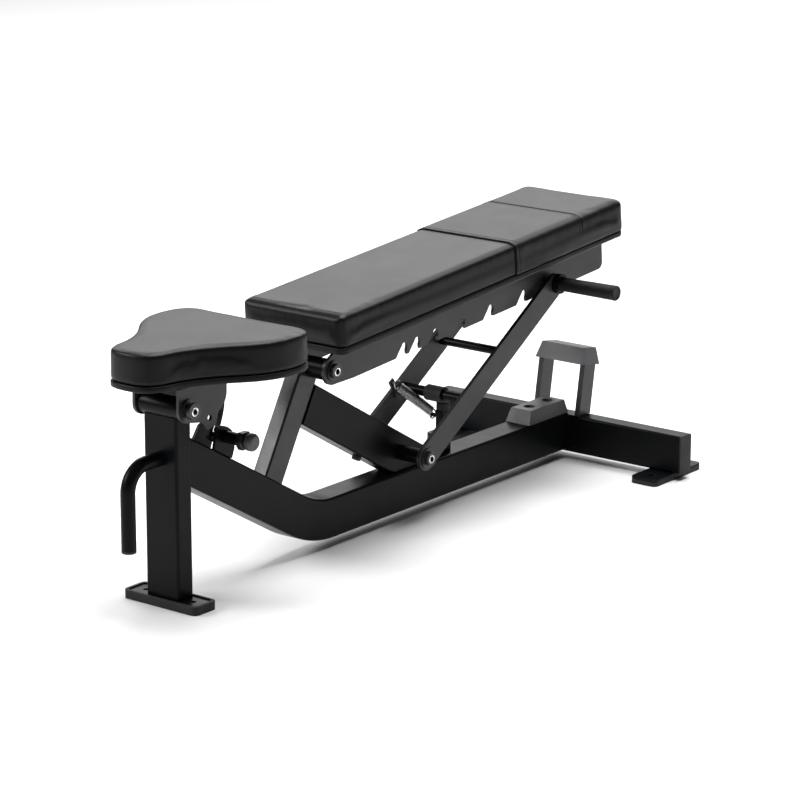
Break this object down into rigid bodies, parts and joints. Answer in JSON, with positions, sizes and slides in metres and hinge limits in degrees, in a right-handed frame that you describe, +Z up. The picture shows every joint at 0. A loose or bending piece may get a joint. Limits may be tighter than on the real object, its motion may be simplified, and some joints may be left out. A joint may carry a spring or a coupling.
{
  "type": "adjustable weight bench",
  "caption": "Weight training bench with a back pad that a hinged prop holds at any notch of saw-toothed rails, and a tilting seat locked by a pop pin",
  "frame": {"origin": "on the floor, on the centre line, under the front face of the front post", "axes": "+Z up, +Y along the bench from the seat to the head end, +X to the right of a user lying on it seen from the seat end"},
  "size_m": [0.617, 1.4365, 0.5566],
  "materials": {
    "frame_paint": "satin powder coat",
    "foot_rubber": "matte moulded rubber",
    "grip_rubber": "fine ribbed rubber",
    "black_plastic": "textured",
    "bright_steel": "brushed",
    "bolt_steel": "black oxide",
    "board": "covered plywood",
    "pad_vinyl": "grained vinyl over foam",
    "cover_vinyl": "grained vinyl sleeve"
  },
  "bodies": {
    "frame": {"front_foot_boot": "foot_rubber", "front_foot_plate": "frame_paint", "front_post": "frame_paint", "seat_pivot_tube": "frame_paint", "front_handle": "frame_paint", "handle_cap": "black_plastic", "main_beam": "frame_paint", "cross_beam": "frame_paint", "end_cap_left": "black_plastic", "end_cap_right": "black_plastic", "rear_foot_pad_left": "foot_rubber", "rear_foot_pad_right": "foot_rubber", "rear_foot_plate_left": "frame_paint", "rear_foot_plate_right": "frame_paint", "support_leg": "frame_paint", "back_pivot_tube": "frame_paint", "brace": "frame_paint", "brace_plug": "black_plastic", "ladder_pivot_tube": "frame_paint", "seat_axle": "bolt_steel", "back_axle": "bolt_steel", "ladder_axle": "bolt_steel", "lock_plate_left": "frame_paint", "lock_plate_right": "frame_paint", "pin_housing": "frame_paint", "pin_nut": "bolt_steel", "rest_post": "frame_paint", "rest_bumper": "foot_rubber", "beam_cover": "black_plastic", "stand_leg_left": "frame_paint", "stand_leg_right": "frame_paint", "stand_cap": "black_plastic", "return_spring": "bright_steel"},
    "back": {"back_plate_left": "frame_paint", "back_plate_right": "frame_paint", "back_cross_front": "frame_paint", "back_cross_middle": "frame_paint", "back_cross_rear": "frame_paint", "back_board": "board", "back_pad": "pad_vinyl", "head_cover": "cover_vinyl", "back_bolts": "bolt_steel"},
    "ladder": {"ladder_arm_left": "frame_paint", "ladder_arm_right": "frame_paint", "top_rod": "frame_paint", "grip_flange": "frame_paint", "rod_collar_left": "bolt_steel", "pull_grip": "grip_rubber", "middle_rod": "frame_paint", "lower_rod": "frame_paint", "rod_sleeve": "black_plastic"},
    "seat": {"seat_plate_left": "frame_paint", "seat_plate_right": "frame_paint", "seat_sector": "frame_paint", "seat_carrier": "frame_paint", "seat_board": "board", "seat_pad": "pad_vinyl", "seat_bolts": "bolt_steel"},
    "pin": {"pin_shaft": "bright_steel", "pin_knob": "black_plastic"}
  },
  "joints": [
    {"name": "back_hinge", "type": "hinge", "parent": "frame", "child": "back", "pos_m": [0, 0.404, 0.364], "axis": [1, 0, 0], "range_deg": [0, 80]},
    {"name": "ladder_hinge", "type": "hinge", "parent": "frame", "child": "ladder", "pos_m": [0, 0.6736, 0.1368], "axis": [1, 0, 0], "range_deg": [0, 83], "deforming": ["return_spring"]},
    {"name": "seat_hinge", "type": "hinge", "parent": "frame", "child": "seat", "pos_m": [0, 0.014, 0.37], "axis": [-1, 0, 0], "range_deg": [0, 16]},
    {"name": "seat_pin", "type": "slide", "parent": "frame", "child": "pin", "axis": [1, 0, 0], "range_m": [0, 0.012], "stiffness_N_per_m": 600, "springref_m": -0.01}
  ],
  "couplings": [
    {"joint": "ladder_hinge", "follows": "back_hinge", "ratio": 1.03}
  ]
}
